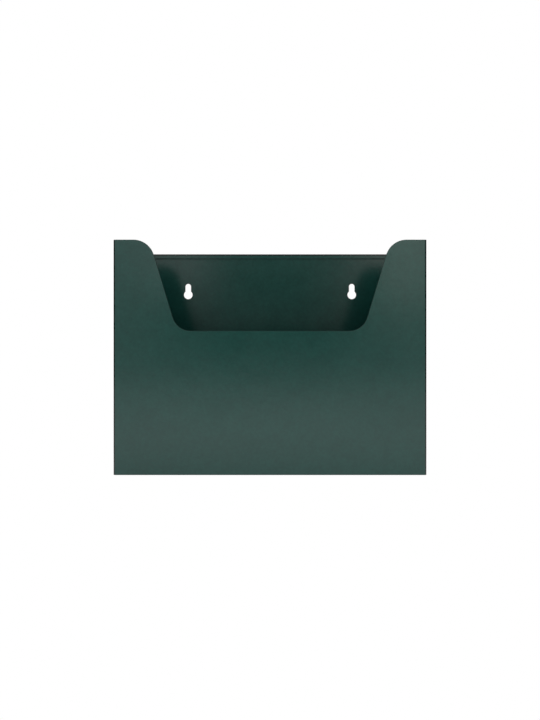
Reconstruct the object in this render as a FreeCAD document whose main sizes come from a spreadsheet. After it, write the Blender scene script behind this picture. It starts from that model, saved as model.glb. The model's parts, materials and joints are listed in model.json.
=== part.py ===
import FreeCAD, Part
import collections
import math
import os
import re

import Sketcher

# An open-topped mail pocket of powder-coated sheet steel, which hangs on a wall by two keyholes.
#
# Three sheets make it. The front shell is folded round the front and both sides, and a scoop
# in its front lets a hand reach the mail. The back panel lies on the wall: its side flanges
# stand inside the shell's sides, and a hem stiffens its top. The floor pan closes the bottom
# with four flanges. Spot welds join the flanges to the walls that they lie against.
#
# Every body is drawn with the middle of the case's width at X 0, the wall at Y 0 and the
# bottom at Z 0, the front towards -Y. Its Placement then lowers it, so that the model's
# origin is on the wall, midway between the round ends of the keyholes.

# Alias, value in millimetres or a plain count, and what it measures.
DIMENSIONS = (
    ("case_width", 320, "Across the outer faces of the sides"),
    ("case_height", 240, "Bottom edge to the top of the sides"),
    ("case_depth", 80, "Wall to the outer face of the front"),
    ("gauge", 1, "Thickness of every sheet, coating included"),
    ("fold_inside", 1.5, "Inner radius of the folds"),
    ("edge_round", 0.25, "Radius that the coating gives the cut edges"),
    ("scoop_floor", 147, "Bottom edge to the floor of the scoop"),
    ("scoop_floor_width", 190, "Scoop's width at its floor, between sharp corners"),
    ("scoop_mouth_width", 246.5, "Scoop's width at its mouth, between sharp corners"),
    ("scoop_floor_round", 19, "Radius of the corners of the scoop's floor"),
    ("scoop_mouth_round", 21.5, "Radius of the shoulders at the scoop's mouth"),
    ("side_flange", 15, "Wall to the front edge of the back panel's side flanges"),
    ("side_flange_low", 14, "Bottom edge to the lower ends of the side flanges"),
    ("side_flange_high", 231, "Bottom edge to the upper ends of the side flanges"),
    ("fold_relief", 1, "Height of the notch at each end of a side flange"),
    ("side_gap", 0.3, "Between the back panel's flat ends and the sides"),
    ("hem_drop", 5.4, "Top of the hem to its folded edge"),
    ("hem_gap", 0.6, "Between the back panel and the hem's lip"),
    ("keyhole_height", 193, "Bottom edge to the centres of the keyholes' round ends"),
    ("keyhole_span", 190, "Between the two keyholes"),
    ("keyhole_head", 10, "Diameter of a keyhole's round end"),
    ("keyhole_slot", 6.5, "Width of a keyhole's slot"),
    ("keyhole_rise", 9.5, "Round end's centre to the centre of the slot's top"),
    ("floor_flange", 12, "Bottom edge to the upper edge of the floor pan's flanges"),
    ("floor_notch", 4, "Side of the square cut from each corner of the floor pan"),
    ("weld_width", 4.5, "Diameter of a weld nugget"),
    ("weld_depth", 0.3, "How far a nugget reaches into each of its two sheets"),
    ("dimple_width", 5.5, "Diameter of the welding tip's dent"),
    ("dimple_depth", 0.12, "Depth of the welding tip's dent"),
    ("side_weld_low", 32, "Bottom edge to the lowest side weld"),
    ("side_weld_pitch", 45, "Between neighbouring side welds"),
    ("side_weld_count", 5, "Welds on each side flange"),
    ("floor_weld_height", 7, "Bottom edge to the welds of the floor pan"),
    ("floor_end_pitch", 20, "Between neighbouring welds on the floor pan's ends"),
    ("floor_end_count", 3, "Welds on each end of the floor pan"),
    ("floor_long_pitch", 80, "Between neighbouring welds on the floor pan's long flanges"),
    ("floor_long_count", 4, "Welds on each long flange of the floor pan"),
)

SHEET_NAME = "Sizes"
NEAR = 1e-4  # lengths in millimetres, and volumes, that differ by less are the same
GAUGE_MATCH = 0.01  # how closely the width of a cut face has to match the gauge, as a share of it

# A line of evenly spaced spot welds between two sheets. "role" is the origin plane that the
# touching faces are parallel to, "lift" is how far they are from it along its normal, and
# "inwards" is the sign that leads from them into the case. "u" and "v" place the first weld on
# that plane, and "axis" is the sketch axis that the line follows.
WeldRow = collections.namedtuple("WeldRow", "role lift inwards u v axis pitch count")


def weld_rows():
    """Each line of welds, by the name of the node that holds its nuggets."""
    rows = {}
    for side, sign, inwards in (("left", "-", "+"), ("right", "", "-")):
        lift = sign + "(case_width / 2 - gauge)"
        rows[side + "_side_welds"] = WeldRow(
            "YZ_Plane", lift, inwards, "-(side_flange + fold_inside + gauge) / 2",
            "side_weld_low", "V_Axis", "side_weld_pitch", "side_weld_count",
        )
        rows[side + "_floor_welds"] = WeldRow(
            "YZ_Plane", lift, inwards,
            "-case_depth / 2 - floor_end_pitch * (floor_end_count - 1) / 2",
            "floor_weld_height", "H_Axis", "floor_end_pitch", "floor_end_count",
        )
    for side, lift, inwards in (("front", "case_depth - gauge", "-"), ("back", "gauge", "+")):
        rows[side + "_floor_welds"] = WeldRow(
            "XZ_Plane", lift, inwards, "-floor_long_pitch * (floor_long_count - 1) / 2",
            "floor_weld_height", "H_Axis", "floor_long_pitch", "floor_long_count",
        )
    return rows


# ---------------------------------------------------------------- sheet, bodies and sketches


def fill_sheet(doc):
    """The spreadsheet that every feature reads its sizes from."""
    sheet = doc.addObject("Spreadsheet::Sheet", SHEET_NAME)
    for row, (alias, number, meaning) in enumerate(DIMENSIONS, start=1):
        sheet.set("A%d" % row, meaning)
        sheet.set("B%d" % row, str(number))
        sheet.setAlias("B%d" % row, alias)
    doc.recompute()
    return sheet


def linked(formula):
    """The formula with each alias written as a reference to its cell."""
    return re.sub(r"[a-z_]+", lambda word: SHEET_NAME + "." + word.group(), formula)


def value(body, formula):
    """What the formula comes to with the sizes now in the spreadsheet."""
    return float(body.evalExpression(linked(formula)))


def bind(item, path, formula):
    item.setExpression(path, linked(formula))


def new_body(doc, name):
    body = doc.addObject("PartDesign::Body", name)
    body.Label = name
    bind(body, ".Placement.Base.z", "-keyhole_height")
    return body


def new_sketch(body, name, role, lift="0"):
    """A sketch parallel to one of the body's origin planes, lifted along that plane's normal."""
    sketch = body.newObject("Sketcher::SketchObject", name)
    plane = next(item for item in body.Origin.OriginFeatures if item.Role == role)
    sketch.AttachmentSupport = [(plane, "")]
    sketch.MapMode = "FlatFace"
    bind(sketch, ".AttachmentOffset.Base.z", lift)
    return sketch


def point(sketch, u, v):
    return FreeCAD.Vector(value(sketch, u), value(sketch, v), 0)


def constrain(sketch, formula, kind, *where):
    """Add a dimension to the sketch that follows the formula."""
    index = sketch.addConstraint(Sketcher.Constraint(kind, *where, value(sketch, formula)))
    bind(sketch, "Constraints[%d]" % index, formula)


def pin(sketch, geometry, end, u, v):
    """Hold one end (1 or 2) or the centre (3) of a sketch line at a place on the sketch."""
    constrain(sketch, u, "DistanceX", -1, 1, geometry, end)
    constrain(sketch, v, "DistanceY", -1, 1, geometry, end)


def polygon(sketch, corners):
    """A closed outline of straight lines through the corners."""
    points = [point(sketch, u, v) for u, v in corners]
    first = sketch.GeometryCount
    for start, end in zip(points, points[1:] + points[:1]):
        sketch.addGeometry(Part.LineSegment(start, end), False)
    for index, (u, v) in enumerate(corners):
        before = first + (index - 1) % len(corners)
        sketch.addConstraint(Sketcher.Constraint("Coincident", before, 2, first + index, 1))
        pin(sketch, first + index, 1, u, v)


def rectangle(sketch, left, right, low, high):
    polygon(sketch, [(left, low), (right, low), (right, high), (left, high)])


def circle(sketch, u, v, diameter):
    shape = Part.Circle(point(sketch, u, v), FreeCAD.Vector(0, 0, 1), value(sketch, diameter) / 2)
    index = sketch.addGeometry(shape, False)
    pin(sketch, index, 3, u, v)
    constrain(sketch, diameter, "Diameter", index)


def arc(sketch, u, v, radius, first_angle, last_angle):
    """An anticlockwise arc, its centre pinned and its radius bound. Returns its number."""
    full = Part.Circle(point(sketch, u, v), FreeCAD.Vector(0, 0, 1), value(sketch, radius))
    index = sketch.addGeometry(Part.ArcOfCircle(full, first_angle, last_angle), False)
    pin(sketch, index, 3, u, v)
    constrain(sketch, radius, "Radius", index)
    return index


def arch(sketch, u, v, radius):
    """A half circle that opens downwards, its ends level with its centre. Returns its number."""
    index = arc(sketch, u, v, radius, 0, math.pi)
    for end in (1, 2):
        constrain(sketch, v, "DistanceY", -1, 1, index, end)
    return index


def line(sketch, start, end, *direction):
    """A line between two points, held Horizontal or Vertical if so named. Returns its number."""
    index = sketch.addGeometry(Part.LineSegment(start, end), False)
    for name in direction:
        sketch.addConstraint(Sketcher.Constraint(name, index))
    return index


def join(sketch, *ends):
    """Close an outline: each pair of (geometry, end) is made one point."""
    for (one, one_end), (other, other_end) in ends:
        sketch.addConstraint(Sketcher.Constraint("Coincident", one, one_end, other, other_end))


# ---------------------------------------------------------------- features


def finished(body, feature):
    """Recompute, and stop if the feature failed or left the body as it was."""
    before = feature.BaseFeature.Shape.Volume if feature.BaseFeature else 0
    body.Tip = feature
    body.Document.recompute()
    if "Invalid" in feature.State or feature.Shape.isNull() or not feature.Shape.isValid():
        raise RuntimeError("%s of %s failed" % (feature.Label, body.Label))
    if abs(feature.Shape.Volume - before) < NEAR:
        raise RuntimeError("%s of %s changes nothing" % (feature.Label, body.Label))
    return feature


def pad(body, name, sketch, length, side_type="One side"):
    feature = body.newObject("PartDesign::Pad", name)
    feature.Profile = sketch
    feature.SideType = side_type
    bind(feature, "Length", length)
    return finished(body, feature)


def even_pad(body, name, sketch, length):
    """Pad the sketch's outlines by half the length on each side of its plane."""
    return pad(body, name, sketch, length, "Symmetric")


def pocket(body, name, sketch, depth):
    """Cut the sketch's outlines by half the depth on each side of its plane."""
    feature = body.newObject("PartDesign::Pocket", name)
    feature.Profile = sketch
    feature.SideType = "Symmetric"
    bind(feature, "Length", depth)
    return finished(body, feature)


def fillet(body, name, base, is_wanted, radius):
    """Round the edges of the base feature that the test picks."""
    feature = body.newObject("PartDesign::Fillet", name)
    edges = enumerate(base.Shape.Edges, start=1)
    feature.Base = (base, ["Edge%d" % number for number, edge in edges if is_wanted(edge)])
    bind(feature, "Radius", radius)
    return finished(body, feature)


def hollow(body, base, is_open):
    """Leave only the sheet: the base's skin, without the faces that the test picks."""
    feature = body.newObject("PartDesign::Thickness", "Sheet")
    faces = enumerate(base.Shape.Faces, start=1)
    feature.Base = (base, ["Face%d" % number for number, face in faces if is_open(face)])
    bind(feature, "Value", "gauge")
    feature.Join = "Intersection"
    return finished(body, feature)


def repeat(body, name, feature, sketch, row):
    """Repeat a feature along its row of welds."""
    pattern = body.newObject("PartDesign::LinearPattern", name)
    pattern.Originals = [feature]
    pattern.Direction = (sketch, [row.axis])
    bind(pattern, "Length", "%s * (%s - 1)" % (row.pitch, row.count))
    bind(pattern, "Occurrences", row.count)
    return finished(body, pattern)


def spot_row(body, name, row, make, diameter, depth, inset="0"):
    """A row of round spots, padded or pocketed evenly about a plane set in from the weld's."""
    lift = "%s %s (%s)" % (row.lift, row.inwards, inset)
    sketch = new_sketch(body, name + "_spot", row.role, lift)
    circle(sketch, row.u, row.v, diameter)
    return repeat(body, name, make(body, name + "_first", sketch, depth), sketch, row)


def weld_seats(body, rows):
    """The hollows that the nuggets fill, cut from the touching faces of this sheet."""
    for name, row in rows.items():
        spot_row(body, name + "_seats", row, pocket, "weld_width", "2 * weld_depth")


def tip_dents(body, rows):
    """Shallow dents of the welding tips, on the inner face of a flange."""
    for name, row in rows.items():
        spot_row(body, name + "_dents", row, pocket, "dimple_width", "2 * dimple_depth", "gauge")


def is_along(edge, axis):
    return abs(abs(edge.tangentAt(edge.FirstParameter).dot(axis)) - 1) < NEAR


def is_upright(edge):
    return is_along(edge, FreeCAD.Vector(0, 0, 1))


def is_through_front(edge):
    return is_along(edge, FreeCAD.Vector(0, 1, 0))


def is_at(number, other):
    return abs(number - other) < NEAR


def cut_faces(shape, gauge):
    """The narrow faces where the sheet was cut, which are as wide as the sheet is thick."""
    faces = []
    for face in shape.Faces:
        length = face.Length / 2 - gauge
        if length > NEAR and abs(face.Area / length - gauge) < GAUGE_MATCH * gauge:
            faces.append(face)
    return faces


def soften_cut_edges(body, base):
    """Round both borders of every cut edge, as the coating does."""
    gauge = value(body, "gauge")
    narrow = cut_faces(base.Shape, gauge)
    count = collections.Counter(edge.hashCode() for face in narrow for edge in face.Edges)
    borders = {code for code, uses in count.items() if uses == 1}
    return fillet(body, "SoftEdges", base, lambda edge: edge.hashCode() in borders, "edge_round")


# ---------------------------------------------------------------- the sheets


def front_shell(doc, rows):
    """Front and both sides, folded from one sheet, with the scoop cut into the front."""
    body = new_body(doc, "front_shell")
    front = value(body, "-case_depth")
    top = value(body, "case_height")
    scoop_floor = value(body, "scoop_floor")

    plan = new_sketch(body, "ShellPlan", "XY_Plane")
    rectangle(plan, "-case_width / 2", "case_width / 2", "-case_depth", "0")
    block = pad(body, "ShellBlock", plan, "case_height")
    folded = fillet(
        body, "ShellFolds", block,
        lambda edge: is_upright(edge) and is_at(edge.CenterOfMass.y, front),
        "fold_inside + gauge",
    )
    sheet = hollow(
        body, folded,
        lambda face: any(is_at(at, end) for at, end in (
            (face.CenterOfMass.y, 0), (face.CenterOfMass.z, 0), (face.CenterOfMass.z, top))),
    )

    outline = new_sketch(body, "ScoopOutline", "XZ_Plane", "case_depth - gauge / 2")
    polygon(outline, [
        ("-scoop_floor_width / 2", "scoop_floor"),
        ("scoop_floor_width / 2", "scoop_floor"),
        ("scoop_mouth_width / 2", "case_height"),
        ("-scoop_mouth_width / 2", "case_height"),
    ])
    scoop = pocket(body, "Scoop", outline, "2 * gauge")
    floor_rounds = fillet(
        body, "ScoopFloorRounds", scoop,
        lambda edge: is_through_front(edge) and is_at(edge.CenterOfMass.z, scoop_floor),
        "scoop_floor_round",
    )
    mouth = value(body, "scoop_mouth_width / 2")
    shoulders = fillet(
        body, "ScoopShoulders", floor_rounds,
        lambda edge: is_through_front(edge) and is_at(edge.CenterOfMass.z, top)
        and is_at(abs(edge.CenterOfMass.x), mouth),
        "scoop_mouth_round",
    )
    soften_cut_edges(body, shoulders)
    weld_seats(body, {name: row for name, row in rows.items() if name != "back_floor_welds"})
    return body


def keyhole(sketch, centre):
    """One keyhole: a round end that passes a screw's head, and a slot above that holds it."""
    head = value(sketch, "keyhole_head / 2")
    slot = value(sketch, "keyhole_slot / 2")
    opening = math.acos(slot / head)
    middle = point(sketch, centre, "keyhole_height")
    crown = point(sketch, centre, "keyhole_height + keyhole_rise")
    meeting = FreeCAD.Vector(0, head * math.sin(opening), 0)
    across = FreeCAD.Vector(slot, 0, 0)

    lower = arc(
        sketch, centre, "keyhole_height", "keyhole_head / 2",
        math.pi - opening, 2 * math.pi + opening,
    )
    upper = arch(sketch, centre, "keyhole_height + keyhole_rise", "keyhole_slot / 2")
    right = line(sketch, middle + meeting + across, crown + across, "Vertical")
    left = line(sketch, crown - across, middle + meeting - across, "Vertical")
    join(
        sketch,
        ((lower, 2), (right, 1)),
        ((right, 2), (upper, 1)),
        ((upper, 2), (left, 1)),
        ((left, 2), (lower, 1)),
    )


def hem_section(body):
    """The hem in section: the sheet turns over at the top and hangs as a lip before the panel."""
    sketch = new_sketch(body, "HemSection", "YZ_Plane")
    middle = "-(gauge + hem_gap / 2)"
    crown = "case_height - gauge - hem_gap / 2"
    lip_edge = "case_height - hem_drop"
    lip_front = "-(2 * gauge + hem_gap)"
    lip_back = "-(gauge + hem_gap)"
    outer = arch(sketch, middle, crown, "gauge + hem_gap / 2")
    inner = arch(sketch, middle, crown, "hem_gap / 2")
    high_front, low_front = point(sketch, lip_front, crown), point(sketch, lip_front, lip_edge)
    high_back, low_back = point(sketch, lip_back, crown), point(sketch, lip_back, lip_edge)
    front = line(sketch, high_front, low_front, "Vertical")
    edge = line(sketch, low_front, low_back, "Horizontal")
    behind = line(sketch, low_back, high_back, "Vertical")
    panel = line(sketch, point(sketch, "-gauge", crown), point(sketch, "0", crown))
    join(
        sketch,
        ((outer, 2), (front, 1)),
        ((front, 2), (edge, 1)),
        ((edge, 2), (behind, 1)),
        ((behind, 2), (inner, 2)),
        ((inner, 1), (panel, 1)),
        ((panel, 2), (outer, 1)),
    )
    constrain(sketch, lip_edge, "DistanceY", -1, 1, edge, 1)
    return sketch


def back_panel(doc, rows):
    """The sheet on the wall, with flanges at its sides, a hem at its top and two keyholes."""
    body = new_body(doc, "back_panel")
    low = value(body, "side_flange_low")
    high = value(body, "side_flange_high")
    flange = value(body, "-side_flange")

    plan = new_sketch(body, "FlangePlan", "XY_Plane", "side_flange_low")
    rectangle(plan, "-(case_width / 2 - gauge)", "case_width / 2 - gauge", "-side_flange", "0")
    block = pad(body, "FlangeBlock", plan, "side_flange_high - side_flange_low")
    folded = fillet(
        body, "FlangeFolds", block,
        lambda edge: is_upright(edge) and is_at(edge.CenterOfMass.y, 0),
        "fold_inside + gauge",
    )
    hollow(
        body, folded,
        lambda face: any(is_at(at, end) for at, end in (
            (face.CenterOfMass.y, flange), (face.CenterOfMass.z, low), (face.CenterOfMass.z, high))),
    )

    # The flat of the panel runs past the ends of the flanges, and is full width there.
    wide = "(case_width / 2 - gauge - side_gap)"
    narrow = "(case_width / 2 - 2 * gauge - fold_inside - fold_relief / 2)"
    foot = "side_flange_low - fold_relief"
    head = "side_flange_high + fold_relief"
    crown = "case_height - gauge - hem_gap / 2"
    right_side = [(wide, "0"), (wide, foot), (narrow, foot), (narrow, head), (wide, head), (wide, crown)]
    left_side = [("-" + u, v) for u, v in reversed(right_side)]
    flat = new_sketch(body, "PanelFlat", "XZ_Plane")
    polygon(flat, right_side + left_side)
    pad(body, "Panel", flat, "gauge")
    even_pad(body, "Hem", hem_section(body), "2 * " + wide)

    holes = new_sketch(body, "KeyholeOutlines", "XZ_Plane", "gauge / 2")
    keyhole(holes, "-keyhole_span / 2")
    keyhole(holes, "keyhole_span / 2")
    drilled = pocket(body, "Keyholes", holes, "2 * gauge")
    soften_cut_edges(body, drilled)
    side_rows = {name: row for name, row in rows.items() if name.endswith("side_welds")}
    weld_seats(body, {**side_rows, "back_floor_welds": rows["back_floor_welds"]})
    tip_dents(body, side_rows)
    return body


def floor_pan(doc, rows):
    """The bottom, with a flange folded up along each of its four sides."""
    body = new_body(doc, "floor_pan")
    high = value(body, "floor_flange")
    notch = value(body, "floor_notch")

    # A square is missing from each corner, so that the four sides can fold.
    end, end_notch = "(case_width / 2 - gauge)", "(case_width / 2 - gauge - floor_notch)"
    front, front_notch = "-(case_depth - gauge)", "-(case_depth - gauge - floor_notch)"
    back, back_notch = "-gauge", "-(gauge + floor_notch)"
    right_side = [
        (end_notch, front), (end_notch, front_notch), (end, front_notch),
        (end, back_notch), (end_notch, back_notch), (end_notch, back),
    ]
    left_side = [("-" + u, v) for u, v in reversed(right_side)]
    plan = new_sketch(body, "FloorPlan", "XY_Plane")
    polygon(plan, right_side + left_side)
    block = pad(body, "FloorBlock", plan, "floor_flange")
    folded = fillet(
        body, "FloorFolds", block,
        lambda edge: is_at(edge.CenterOfMass.z, 0) and edge.Length > 2 * notch,
        "fold_inside + gauge",
    )
    sheet = hollow(
        body, folded,
        lambda face: is_at(face.CenterOfMass.z, high) or face.Area < notch * high,
    )
    soften_cut_edges(body, sheet)
    floor_rows = {name: row for name, row in rows.items() if name.endswith("floor_welds")}
    weld_seats(body, floor_rows)
    tip_dents(body, floor_rows)
    return body


def weld_nuggets(doc, name, row):
    """One line of spot welds, each nugget a disc that reaches into both of its sheets."""
    body = new_body(doc, name)
    spot_row(body, name + "_nuggets", row, even_pad, "weld_width", "2 * weld_depth")
    return body


# ---------------------------------------------------------------- checks and files


def check(doc):
    """Stop if anything in the document failed."""
    doc.recompute()
    for item in doc.Objects:
        if {"Invalid", "Error"} & set(item.State):
            raise RuntimeError("%s is %s" % (item.Label, item.State))


def write(body):
    if body.Shape.isNull() or not body.Shape.isValid():
        raise RuntimeError(body.Label + " has no valid shape")
    body.Shape.exportStep("parts/%s.step" % body.Label)
    box = body.Shape.optimalBoundingBox()
    print("%-18s %2d solids %10.2f mm3  X %.2f..%.2f  Y %.2f..%.2f  Z %.2f..%.2f" % (
        body.Label, len(body.Shape.Solids), body.Shape.Volume,
        box.XMin, box.XMax, box.YMin, box.YMax, box.ZMin, box.ZMax))


def main():
    doc = FreeCAD.newDocument("MailPocket")
    fill_sheet(doc)
    rows = weld_rows()
    bodies = [front_shell(doc, rows), back_panel(doc, rows), floor_pan(doc, rows)]
    bodies += [weld_nuggets(doc, name, row) for name, row in rows.items()]
    check(doc)
    os.makedirs("parts", exist_ok=True)
    for body in bodies:
        write(body)


main()
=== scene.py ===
"""The look of the wall mounted mailbox: green powder-coated sheet steel in a plain white studio."""

import json
import math

import bpy
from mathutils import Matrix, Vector


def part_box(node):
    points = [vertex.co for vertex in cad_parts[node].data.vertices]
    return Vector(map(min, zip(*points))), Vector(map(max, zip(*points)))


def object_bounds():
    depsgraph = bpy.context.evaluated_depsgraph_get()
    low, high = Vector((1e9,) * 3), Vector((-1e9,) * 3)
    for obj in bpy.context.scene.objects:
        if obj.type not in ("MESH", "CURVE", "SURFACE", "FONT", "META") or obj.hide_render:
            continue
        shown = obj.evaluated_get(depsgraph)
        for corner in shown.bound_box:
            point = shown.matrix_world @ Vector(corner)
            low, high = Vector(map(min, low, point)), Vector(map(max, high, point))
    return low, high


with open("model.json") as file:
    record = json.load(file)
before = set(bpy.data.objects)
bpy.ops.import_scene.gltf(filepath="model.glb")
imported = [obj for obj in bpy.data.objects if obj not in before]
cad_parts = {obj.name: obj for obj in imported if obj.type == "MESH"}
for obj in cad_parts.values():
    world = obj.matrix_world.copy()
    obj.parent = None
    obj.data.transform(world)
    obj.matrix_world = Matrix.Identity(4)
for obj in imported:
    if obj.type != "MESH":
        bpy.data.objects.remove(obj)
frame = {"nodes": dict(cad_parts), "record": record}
cad_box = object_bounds()
middle = (cad_box[0] + cad_box[1]) / 2

MM = 0.001
WHITE = (1.0, 1.0, 1.0, 1.0)

PICTURE_SHAPE = 720 / 540  # height over width
SENSOR = 36.0  # mm, along the picture's long side
PANEL_SHARE = 0.5815  # of the picture's width, filled by the front panel
VIEW_DISTANCE = 565 * MM  # from the lens to the front panel
LENS_DROP = 2.7 * MM  # of the lens below the middle of the object

# Two small softboxes in front of the object, which light the shoulders of the front panel: degrees
# towards +X and up from its middle, width and height in metres, radiance, and colour.
LAMP_DISTANCE = 2500 * MM  # along Y, from the middle of the object
LAMPS = {
    "left_softbox": (-11.5, 12.0, (0.26, 0.26), 1.3, (1.0, 1.0, 1.0)),
    "right_softbox": (16.9, 13.6, (0.40, 0.60), 1.1, (1.0, 0.98, 0.88)),
}

# The room's light depends on the direction it comes from, a vector of length 1: its Y is -1
# straight in front of the object, and its Z is 1 straight up.
ROOM_RADIANCE = (0.02, 0.38)  # low down and high up
ROOM_RISE = (0.3, 0.7)  # the Z between the two
TENT_RADIANCE = (0.23, 0.95)  # of the light tent in front of the object, low down and high up
TENT_RISE = (0.0, 0.29)  # the Z between the two
TENT_TOP = (0.45, 0.70)  # the Z over which the tent fades out upwards
TENT_SIDES = (-0.85, -0.55)  # the Y over which it fades out to the sides
TENT_TILT = (1.1, 0.9)  # its factors at X -1 and X 1
TENT_RING = (1.0, 1.4)  # its factors in the middle and round it
TENT_RING_START = (-0.94, -0.80)  # the Y between the two

# The dark gap in the tent that the camera looks through.
GAP_MIDDLE = (0.0, -0.994, 0.105)
GAP_REACH = (0.12, 0.23)  # how far from its middle the dark and the fading end

# The floor glows in a fan that opens to the front from a point behind the object; its glow is dimmer near
# the object and outside the fan, a painted shadow of the object.
FLOOR_REACH = 2.0  # from its middle to each side
FLOOR_GAP = 0.2 * MM  # below the object
FLOOR_GREY = (0.9, 0.9, 0.9, 1.0)
FLOOR_ROUGHNESS = 0.8
FLOOR_SPECULAR = 0.2
FLOOR_GLOW = (0.82, 0.56)  # well in front of the object, and from its front panel backwards
FLOOR_FADE = 250 * MM  # between the two
FAN_START = 200 * MM  # behind the object's back
FAN_SIDES = (-0.85, -0.55)  # the Y of the direction from there, over which the fan fades out
FAN_OUTSIDE = 0.15  # the share of the glow outside the fan

# The patterns in the finishes: the size of their features, and the detail of their noise.
CLOUDS = (90 * MM, 3.0)
DRIFTS = (14 * MM, 2.0)
FLOW = (3 * MM, 2.0)
GRAIN = (0.55 * MM, 1.0)
PEEL = (5.5 * MM, 1.5)
GLOSS = (60 * MM, 4.0)
WEAR = (7 * MM, 3.0)
HEAT = (1.8 * MM, 3.0)
SCALE = (0.4 * MM, 2.0)
RIPPLE = (0.6 * MM, 2.0)
NOISE_RANGE = (0.3, 0.7)  # what nearly all of a noise lies between

GREEN = (0.0084, 0.0600, 0.0492)
GREEN_FACTORS = {CLOUDS: (0.95, 1.05), DRIFTS: (0.95, 1.05), FLOW: (0.93, 1.07)}
COAT_IOR = 1.5
COAT_ROUGHNESS = (0.18, 0.22)
GRAIN_ROUGHNESS = (-0.03, 0.03)  # added to the coat's
PEEL_DEPTH = 0.05 * MM
GRAIN_DEPTH = 0.02 * MM

# The coat is thin and dark on the edges of the sheet.
EDGE_GREEN = (0.004, 0.016, 0.013, 1.0)
EDGE_SHARE = 0.7  # of EDGE_GREEN, where the wear is full
EDGE_POLISH = 0.08  # how much smoother it is there
EDGE_WEAR = (0.2, 1.0)  # in the spots with least and most of it
EDGE_REACH = 0.7 * MM
EDGE_SAMPLES = 8
EDGE_TURN = (0.80, 0.995)  # cosine of the turn that rounding gives, on an edge and off it

# Painted shade: the coat is darkest on the folds and slanted edges, where the surface turns away from the
# light, and along the top of the hem.
FOLD_SHADE_GREEN = (0.0006, 0.003, 0.0025, 1.0)
FOLD_SHADE_SHARE = 0.9
FOLD_TURN = (0.98, 0.78)  # sum of the normal's fourth powers, off a fold and on it: 1 on a flat face
HEM_SHADE_REACH = 2.0 * MM  # how far down from the hem's top the painted shade reaches
HEM_FADE = 0.3 * MM  # the height over which that starts

STEEL = (0.42, 0.42, 0.43, 1.0)
BLUED_STEEL = (0.24, 0.22, 0.30, 1.0)
STEEL_ROUGHNESS = (0.35, 0.6)
RIPPLE_DEPTH = 0.02 * MM


def add_node(tree, kind, inputs=None, **settings):
    """Adds a node with its settings and its inputs, each a plain value or another node's output."""
    node = tree.nodes.new(kind)
    for name, value in settings.items():
        setattr(node, name, value)
    for name, value in (inputs or {}).items():
        feed(tree, node.inputs[name], value)
    return node


def feed(tree, socket, value):
    """Gives an input a plain value or another node's output."""
    if isinstance(value, bpy.types.NodeSocket):
        tree.links.new(value, socket)
    else:
        socket.default_value = value


def maths(tree, operation, *values):
    """The result of an operation on numbers."""
    return add_node(tree, "ShaderNodeMath", dict(enumerate(values)), operation=operation).outputs[0]


def product(tree, first, *others):
    """All these numbers multiplied together."""
    result = first
    for other in others:
        result = maths(tree, "MULTIPLY", result, other)
    return result


def vector_maths(tree, operation, *values):
    """The result of an operation on vectors: a number for DOT_PRODUCT and DISTANCE, else a vector."""
    node = add_node(tree, "ShaderNodeVectorMath", dict(enumerate(values)), operation=operation)
    return node.outputs["Value" if operation in ("DOT_PRODUCT", "DISTANCE") else "Vector"]


def scaled(tree, colour, factor):
    """The colour times a factor that changes over the surface."""
    inputs = {0: colour, "Scale": factor}
    return add_node(tree, "ShaderNodeVectorMath", inputs, operation="SCALE").outputs["Vector"]


def mixed(tree, first, second, share):
    """The first colour with this share of the second in it."""
    node = add_node(tree, "ShaderNodeMix", data_type="RGBA")
    sockets = {socket.identifier: socket for socket in node.inputs}
    feed(tree, sockets["Factor_Float"], share)
    feed(tree, sockets["A_Color"], first)
    feed(tree, sockets["B_Color"], second)
    return next(socket for socket in node.outputs if socket.identifier == "Result_Color")


def either(tree, choice, first, second):
    """The first shader where the choice is 0, and the second where it is 1."""
    return add_node(tree, "ShaderNodeMixShader", {0: choice, 1: first, 2: second}).outputs[0]


def along(tree, vector):
    """The vector's X, Y and Z."""
    return add_node(tree, "ShaderNodeSeparateXYZ", {0: vector}).outputs


def is_camera_ray(tree):
    """1 for what the camera sees itself, and 0 for light and reflections."""
    return add_node(tree, "ShaderNodeLightPath").outputs["Is Camera Ray"]


def place(tree):
    """The position on the object, in metres."""
    return add_node(tree, "ShaderNodeTexCoord").outputs["Object"]


def spread(tree, value, results, limits=NOISE_RANGE):
    """The first result up to the first limit, the second from the second one on, and evenly between."""
    inputs = {"Value": value, "From Min": limits[0], "From Max": limits[1],
              "To Min": results[0], "To Max": results[1]}
    return add_node(tree, "ShaderNodeMapRange", inputs).outputs["Result"]


def noise(tree, pattern):
    """One of the patterns above, 0 to 1."""
    size, detail = pattern
    inputs = {"Vector": place(tree), "Scale": 1 / size, "Detail": detail}
    return add_node(tree, "ShaderNodeTexNoise", inputs).outputs["Fac"]


def edges(tree):
    """1 on the sheet's edges and folds, 0 a little way from them."""
    soft = add_node(tree, "ShaderNodeBevel", {"Radius": EDGE_REACH}, samples=EDGE_SAMPLES).outputs["Normal"]
    sharp = add_node(tree, "ShaderNodeNewGeometry").outputs["Normal"]
    return spread(tree, vector_maths(tree, "DOT_PRODUCT", soft, sharp), (1.0, 0.0), EDGE_TURN)


def folds(tree):
    """1 where the surface faces halfway between two axes, as on a fold, and 0 where it faces along one."""
    normal = add_node(tree, "ShaderNodeTexCoord").outputs["Normal"]
    squares = vector_maths(tree, "MULTIPLY", normal, normal)
    return spread(tree, vector_maths(tree, "DOT_PRODUCT", squares, squares), (0.0, 1.0), FOLD_TURN)


def bump(tree, height, depth, under=None):
    """A relief of this depth in metres, on top of another one."""
    inputs = {"Height": height, "Distance": depth}
    if under is not None:
        inputs["Normal"] = under
    return add_node(tree, "ShaderNodeBump", inputs).outputs["Normal"]


def new_material(name):
    """A material and its empty node tree."""
    material = bpy.data.materials.new(name)
    material.use_nodes = True
    material.node_tree.nodes.clear()
    return material, material.node_tree


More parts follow.
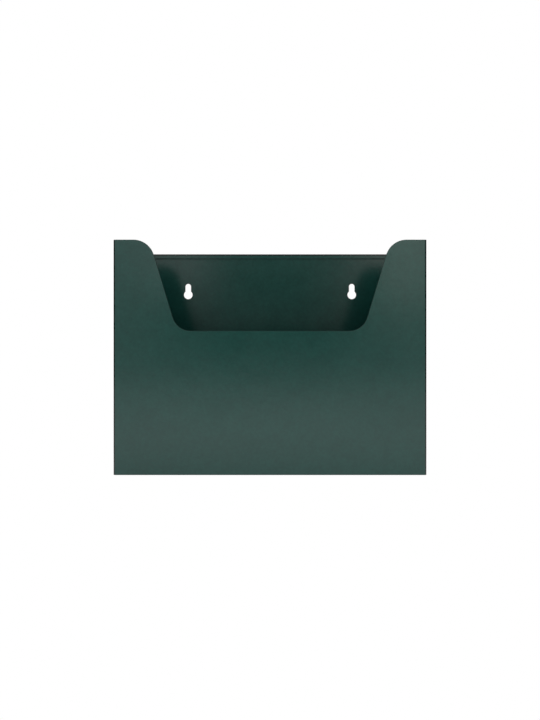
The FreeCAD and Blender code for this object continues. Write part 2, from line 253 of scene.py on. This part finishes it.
def coat_colour(tree, wear, dark):
    """Green, uneven in clouds, drifts and the melted powder's flow, darker by wear, and darker still by
    dark, which is painted shade on the folds and the hem's top.
    """
    factors = [spread(tree, noise(tree, pattern), limits) for pattern, limits in GREEN_FACTORS.items()]
    colour = scaled(tree, GREEN, product(tree, *factors))
    colour = mixed(tree, colour, EDGE_GREEN, product(tree, wear, EDGE_SHARE))
    # Painted shade: darkened towards a near-black green on the folds, and on the hem's top where asked.
    return mixed(tree, colour, FOLD_SHADE_GREEN, product(tree, dark, FOLD_SHADE_SHARE))


def coat_roughness(tree, wear, grain):
    """Uneven from place to place and from grain to grain, and smoother by wear."""
    uneven = spread(tree, noise(tree, GLOSS), COAT_ROUGHNESS)
    grainy = maths(tree, "ADD", uneven, spread(tree, grain, GRAIN_ROUGHNESS))
    return maths(tree, "SUBTRACT", grainy, product(tree, wear, EDGE_POLISH))


def powder_coat(name, painted_shade_from=None):
    """Dark green powder coat with a slow orange peel and a melted grain, thin and dark by wear on the edges
    and folds, with painted shade on the folds. Where a height is given, the coat from that height up has
    the same painted shade as a fold."""
    material, tree = new_material(name)
    grain = noise(tree, GRAIN)
    wear = product(tree, edges(tree), spread(tree, noise(tree, WEAR), EDGE_WEAR))
    # Painted shade on the folds, where the surface turns away from the light.
    dark = folds(tree)
    # Painted shade along the top of the hem, from the given height up.
    if painted_shade_from is not None:
        height = along(tree, place(tree))["Z"]
        high = spread(tree, height, (0.0, 1.0), (painted_shade_from, painted_shade_from + HEM_FADE))
        dark = maths(tree, "MAXIMUM", dark, high)
    shader = add_node(tree, "ShaderNodeBsdfPrincipled", {
        "Base Color": coat_colour(tree, wear, dark),
        "Roughness": coat_roughness(tree, wear, grain),
        "IOR": COAT_IOR,
        "Normal": bump(tree, grain, GRAIN_DEPTH, under=bump(tree, noise(tree, PEEL), PEEL_DEPTH)),
    })
    add_node(tree, "ShaderNodeOutputMaterial", {"Surface": shader.outputs[0]})
    return material


def fused_steel():
    """Fused bare steel between the sheets: grey, blued in patches by the heat."""
    material, tree = new_material("fused_steel")
    shader = add_node(tree, "ShaderNodeBsdfPrincipled", {
        "Base Color": mixed(tree, STEEL, BLUED_STEEL, spread(tree, noise(tree, HEAT), (0.0, 1.0))),
        "Metallic": 1.0,
        "Roughness": spread(tree, noise(tree, SCALE), STEEL_ROUGHNESS),
        "Normal": bump(tree, noise(tree, RIPPLE), RIPPLE_DEPTH),
    })
    add_node(tree, "ShaderNodeOutputMaterial", {"Surface": shader.outputs[0]})
    return material


def dress_the_nodes():
    """Gives each CAD node the finish that the record's slot names for it. The back panel's coat also
    has painted shade along the top of its hem."""
    finishes = {"green_powder_coat": powder_coat("powder_coat"), "weld_steel": fused_steel()}
    hem_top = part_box("back_panel")[1].z
    # The back panel's coat has painted shade along the top of its hem.
    own = {"back_panel": powder_coat("powder_coat_hem_shade", painted_shade_from=hem_top - HEM_SHADE_REACH)}
    for part in frame["record"]["subparts"]:
        node = frame["nodes"][part["node"]]
        node.data.materials.clear()
        node.data.materials.append(own.get(part["node"], finishes[part["material_slot"]]))


def floor_glow(tree):
    """How much light the floor gives off: most well in front of the object, little outside the fan. The
    dimmer glow near the object and outside the fan is painted shadow.
    """
    front = cad_box[0].y
    start = Vector((middle.x, cad_box[1].y + FAN_START, cad_box[0].z))
    glow = spread(tree, along(tree, place(tree))["Y"], FLOOR_GLOW, (front - FLOOR_FADE, front))
    heading = vector_maths(tree, "NORMALIZE", vector_maths(tree, "SUBTRACT", place(tree), start))
    fan = spread(tree, along(tree, heading)["Y"], (1.0, FAN_OUTSIDE), FAN_SIDES)
    return product(tree, glow, fan)


def floor_material():
    """Pale and plain: even and white to the camera, glowing to everything else, and clear from below."""
    material, tree = new_material("studio_floor")
    glowing = add_node(tree, "ShaderNodeBsdfPrincipled", {
        "Base Color": FLOOR_GREY, "Roughness": FLOOR_ROUGHNESS, "Specular IOR Level": FLOOR_SPECULAR,
        "Emission Color": WHITE, "Emission Strength": floor_glow(tree),
    })
    white = add_node(tree, "ShaderNodeEmission", {"Color": WHITE})
    clear = add_node(tree, "ShaderNodeBsdfTransparent")
    from_below = add_node(tree, "ShaderNodeNewGeometry").outputs["Backfacing"]
    top = either(tree, is_camera_ray(tree), glowing.outputs[0], white.outputs[0])
    both = either(tree, from_below, top, clear.outputs[0])
    add_node(tree, "ShaderNodeOutputMaterial", {"Surface": both})
    return material


def add_floor():
    """A square floor just below the object."""
    level = cad_box[0].z - FLOOR_GAP
    corners = [(middle.x + x * FLOOR_REACH, middle.y + y * FLOOR_REACH, level)
               for x, y in ((-1, -1), (1, -1), (1, 1), (-1, 1))]
    mesh = bpy.data.meshes.new("floor")
    mesh.from_pydata(corners, [], [(0, 1, 2, 3)])
    mesh.materials.append(floor_material())
    floor = bpy.data.objects.new("floor", mesh)
    bpy.context.scene.collection.objects.link(floor)


def aim(thing, target):
    """Turns a camera or a lamp towards a point."""
    thing.rotation_mode = "QUATERNION"
    thing.rotation_quaternion = (target - thing.location).to_track_quat("-Z", "Y")


def add_camera():
    """Square to the front panel, which fills PANEL_SHARE of the picture's width."""
    low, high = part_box("front_shell")
    seen_height = (high.x - low.x) / PANEL_SHARE * PICTURE_SHAPE
    data = bpy.data.cameras.new("camera")
    data.sensor_width = SENSOR
    data.lens = SENSOR * VIEW_DISTANCE / seen_height
    camera = bpy.data.objects.new("camera", data)
    camera.location = (middle.x, low.y - VIEW_DISTANCE, middle.z - LENS_DROP)
    aim(camera, camera.location + Vector((0, 1, 0)))
    bpy.context.scene.collection.objects.link(camera)
    bpy.context.scene.camera = camera


def add_softboxes():
    """The two lamps, aimed at the middle of the object."""
    for name, (azimuth, elevation, (width, height), radiance, colour) in LAMPS.items():
        towards = Vector((math.tan(math.radians(azimuth)), -1, math.tan(math.radians(elevation))))
        data = bpy.data.lights.new(name, "AREA")
        data.shape = "RECTANGLE"
        data.size = width
        data.size_y = height
        data.energy = radiance * math.pi * width * height
        data.color = colour
        lamp = bpy.data.objects.new(name, data)
        lamp.location = middle + towards * LAMP_DISTANCE
        aim(lamp, middle)
        bpy.context.scene.collection.objects.link(lamp)


def tent_radiance(tree, direction):
    """The light tent in front of the object, brighter higher up and round its middle, with its gap."""
    parts = along(tree, direction)
    from_gap = vector_maths(tree, "DISTANCE", direction, GAP_MIDDLE)
    return product(
        tree,
        spread(tree, parts["Z"], TENT_RADIANCE, TENT_RISE),
        spread(tree, parts["X"], TENT_TILT, (-1.0, 1.0)),
        spread(tree, parts["Y"], (1.0, 0.0), TENT_SIDES),
        spread(tree, parts["Z"], (1.0, 0.0), TENT_TOP),
        spread(tree, parts["Y"], TENT_RING, TENT_RING_START),
        spread(tree, from_gap, (0.0, 1.0), GAP_REACH),
    )


def add_room():
    """The light tent in a dim room that is lighter higher up. The camera itself sees plain white."""
    world = bpy.data.worlds.new("studio")
    bpy.context.scene.world = world
    world.use_nodes = True
    tree = world.node_tree
    tree.nodes.clear()
    direction = add_node(tree, "ShaderNodeTexCoord").outputs["Generated"]
    room = spread(tree, along(tree, direction)["Z"], ROOM_RADIANCE, ROOM_RISE)
    strength = maths(tree, "ADD", tent_radiance(tree, direction), room)
    lit = add_node(tree, "ShaderNodeBackground", {"Color": WHITE, "Strength": strength})
    white = add_node(tree, "ShaderNodeBackground", {"Color": WHITE})
    both = either(tree, is_camera_ray(tree), lit.outputs[0], white.outputs[0])
    add_node(tree, "ShaderNodeOutputWorld", {"Surface": both})


add_camera()
dress_the_nodes()
add_floor()
add_softboxes()
add_room()
bpy.context.scene.view_settings.view_transform = "Standard"
